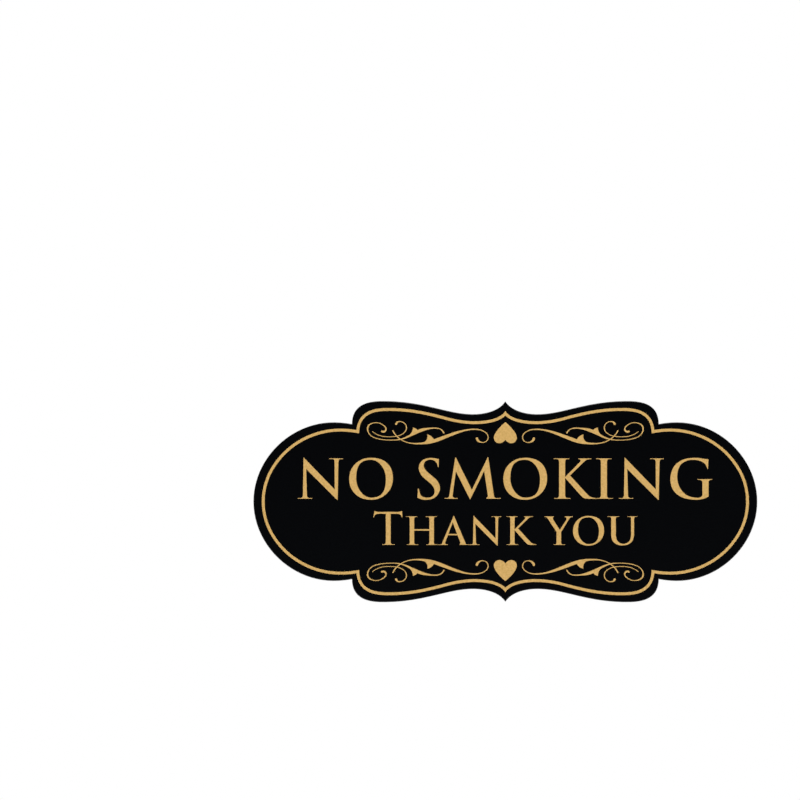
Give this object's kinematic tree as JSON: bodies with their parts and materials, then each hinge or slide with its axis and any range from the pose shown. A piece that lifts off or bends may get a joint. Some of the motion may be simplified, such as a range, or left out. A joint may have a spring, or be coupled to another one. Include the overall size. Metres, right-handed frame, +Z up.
{
  "type": "no smoking sign",
  "caption": "Thin black plastic sign plate with a scrolled outline, a gold border line, scrolls and hearts, held flat on a door or wall by foam tape strips.",
  "frame": {"origin": "middle of the sign on the plane of the wall, on the outer face of the centre strip's release liner", "axes": "+X to the reader's right, +Z up, +Y into the wall; the face looks along -Y"},
  "size_m": [0.2286, 0.0028, 0.0912],
  "materials": {
    "black_plastic": "satin, even black",
    "gold_ink": "satin gold print",
    "foam": "matt white foam",
    "liner": "smooth pale release film"
  },
  "bodies": {
    "root": {"plate": "black_plastic", "border_line": "gold_ink", "upper_left_scroll": "gold_ink", "upper_right_scroll": "gold_ink", "lower_left_scroll": "gold_ink", "lower_right_scroll": "gold_ink", "upper_heart": "gold_ink", "lower_heart": "gold_ink", "left_foam_tape": "foam", "left_release_liner": "liner", "centre_foam_tape": "foam", "centre_release_liner": "liner", "right_foam_tape": "foam", "right_release_liner": "liner"}
  },
  "joints": []
}
